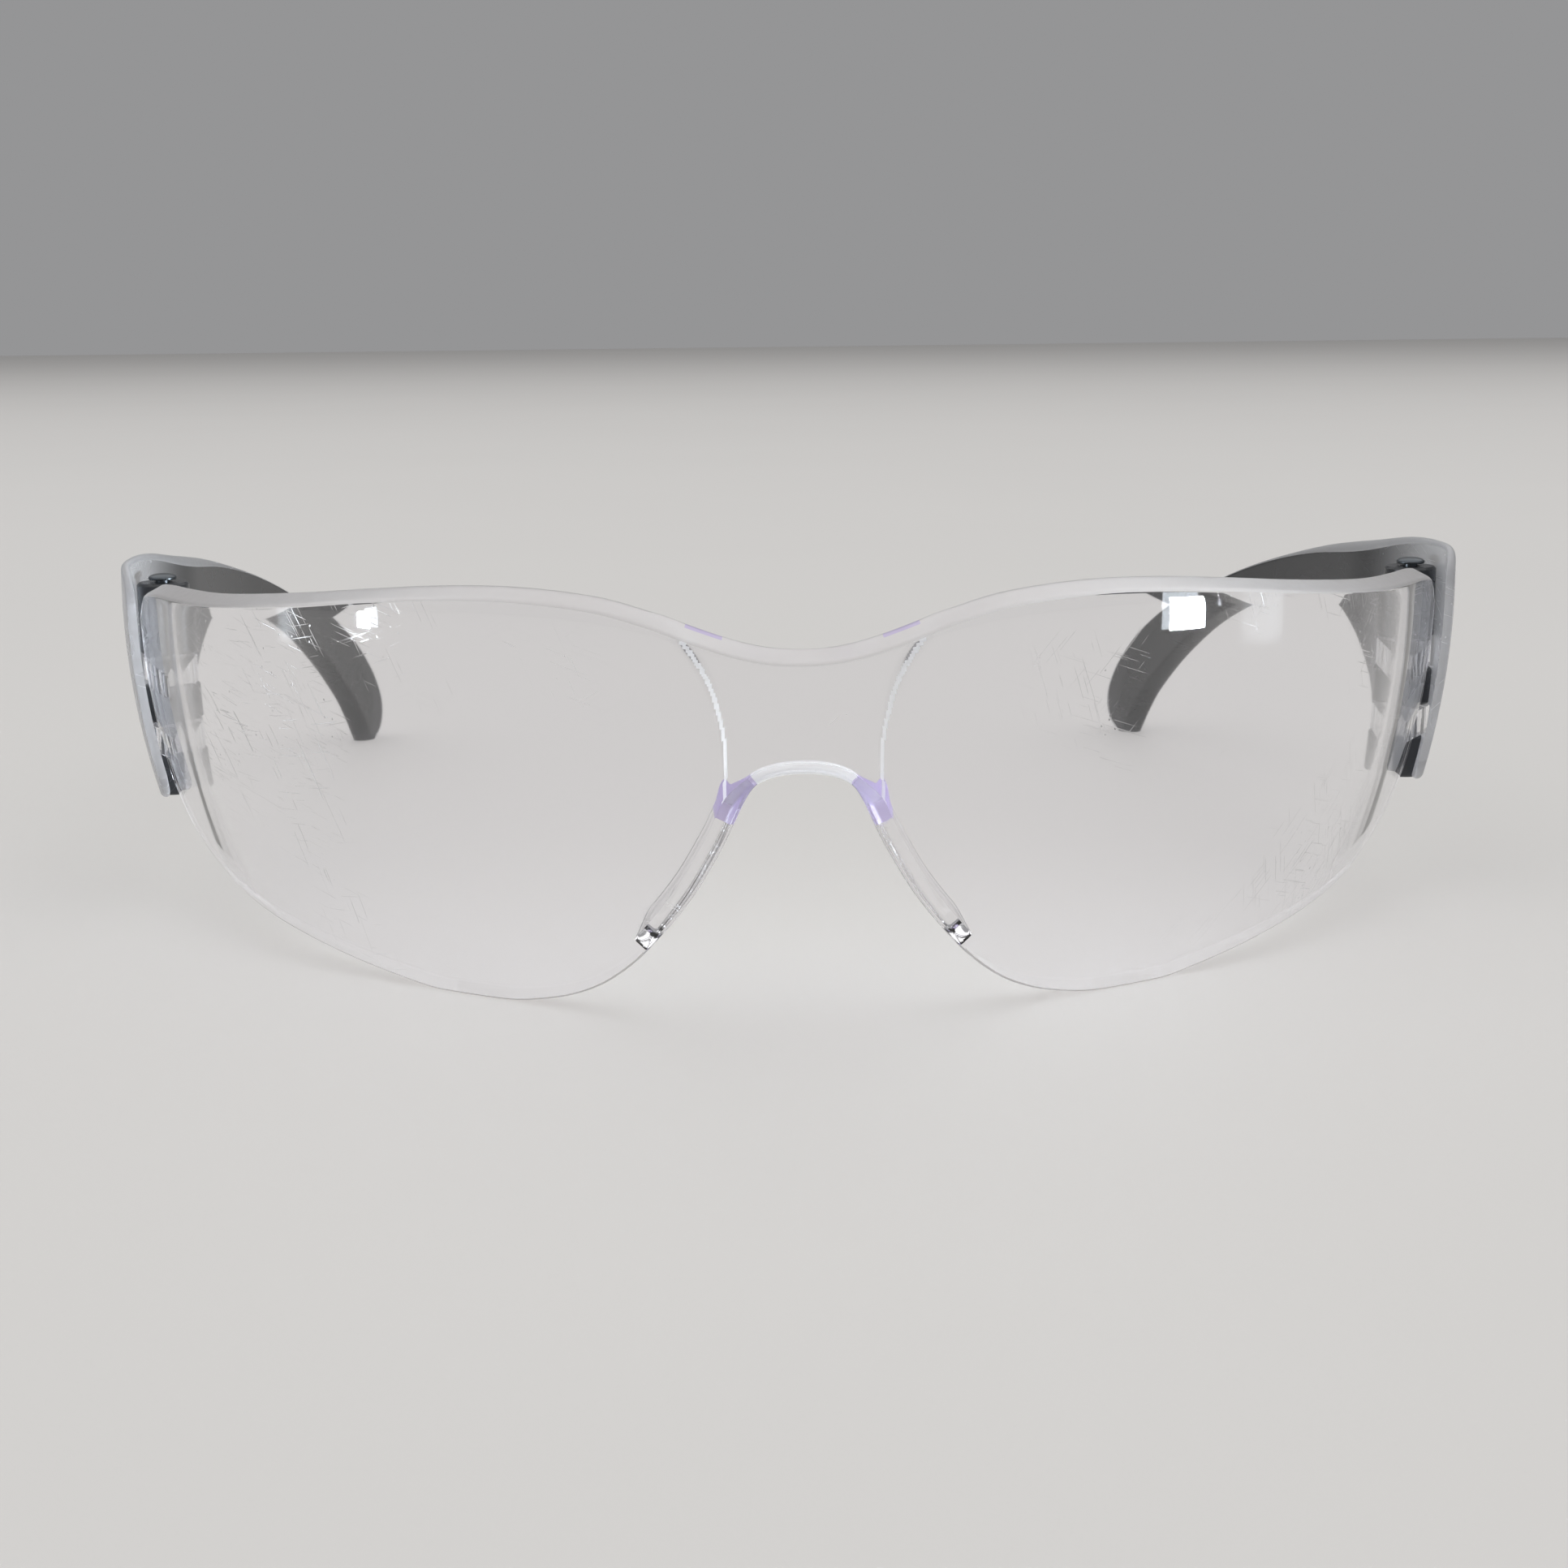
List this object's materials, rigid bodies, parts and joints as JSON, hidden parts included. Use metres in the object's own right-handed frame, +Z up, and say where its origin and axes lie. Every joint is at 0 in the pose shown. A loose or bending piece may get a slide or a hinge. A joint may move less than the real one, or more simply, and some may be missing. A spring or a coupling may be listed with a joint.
{
  "type": "safety glasses",
  "caption": "Frameless wraparound safety glasses with a one-piece clear shield lens, moulded nose saddle and grey-tinted temples that fold on pinned knuckle hinges.",
  "frame": {"origin": "on the surface that the open glasses stand on, midway between the front of the lens and the temple tips", "axes": "+Z up, the front of the lens faces -Y, the temples run back along +Y, and +X is the wearer's left"},
  "size_m": [0.1512, 0.16, 0.0415],
  "materials": {
    "clear_lens": "clear polished polycarbonate with a faint violet toner, fine scratches",
    "clear_temple": "grey-tinted translucent polycarbonate, satin, dark where it is thick and light along its moulded edges",
    "pin_steel": "blackened drawn wire"
  },
  "bodies": {
    "lens": {"lens": "clear_lens", "hinge_pin_left": "pin_steel", "hinge_pin_right": "pin_steel"},
    "temple_left": {"temple_left": "clear_temple"},
    "temple_right": {"temple_right": "clear_temple"}
  },
  "joints": [
    {"name": "temple_left_fold", "type": "hinge", "parent": "lens", "child": "temple_left", "pos_m": [0.07136, -0.01954, 0.024], "axis": [0, 0, 1], "range_deg": [-6, 87]},
    {"name": "temple_right_fold", "type": "hinge", "parent": "lens", "child": "temple_right", "pos_m": [-0.07104, -0.01954, 0.024], "axis": [0, 0, -1], "range_deg": [0, 80]}
  ]
}
